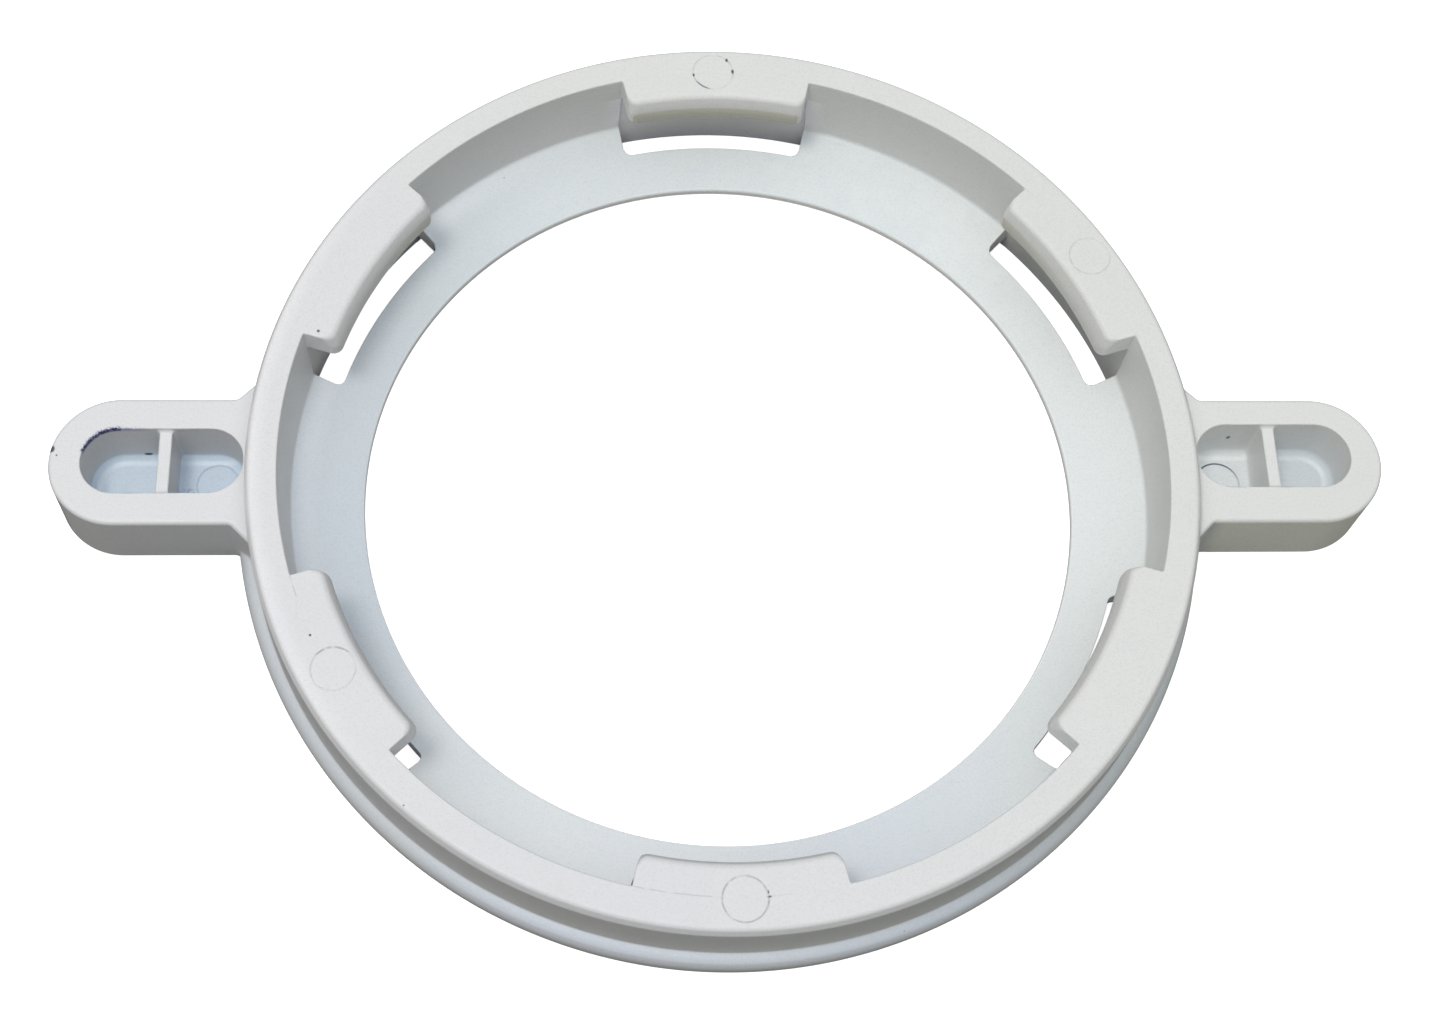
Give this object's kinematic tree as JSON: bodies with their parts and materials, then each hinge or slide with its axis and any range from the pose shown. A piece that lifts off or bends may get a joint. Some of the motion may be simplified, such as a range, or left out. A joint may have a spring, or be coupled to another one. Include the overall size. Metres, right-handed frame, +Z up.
{
  "type": "toilet flange locking ring",
  "caption": "Dished plastic bayonet locking ring with a wide central hole, inward lugs over moulded slots, a stepped base and opposed ribbed gripping ears.",
  "frame": {"origin": "on the ring's axis, in the plane of the foot ring it rests on", "axes": "+Z up through the bayonet mouth, +X through one gripping ear, +Y across through the middle of a lug"},
  "size_m": [0.2538, 0.186, 0.0243],
  "materials": {
    "white_plastic": "satin, fine moulded grain"
  },
  "bodies": {
    "root": {"locking_ring": "white_plastic"}
  },
  "joints": []
}
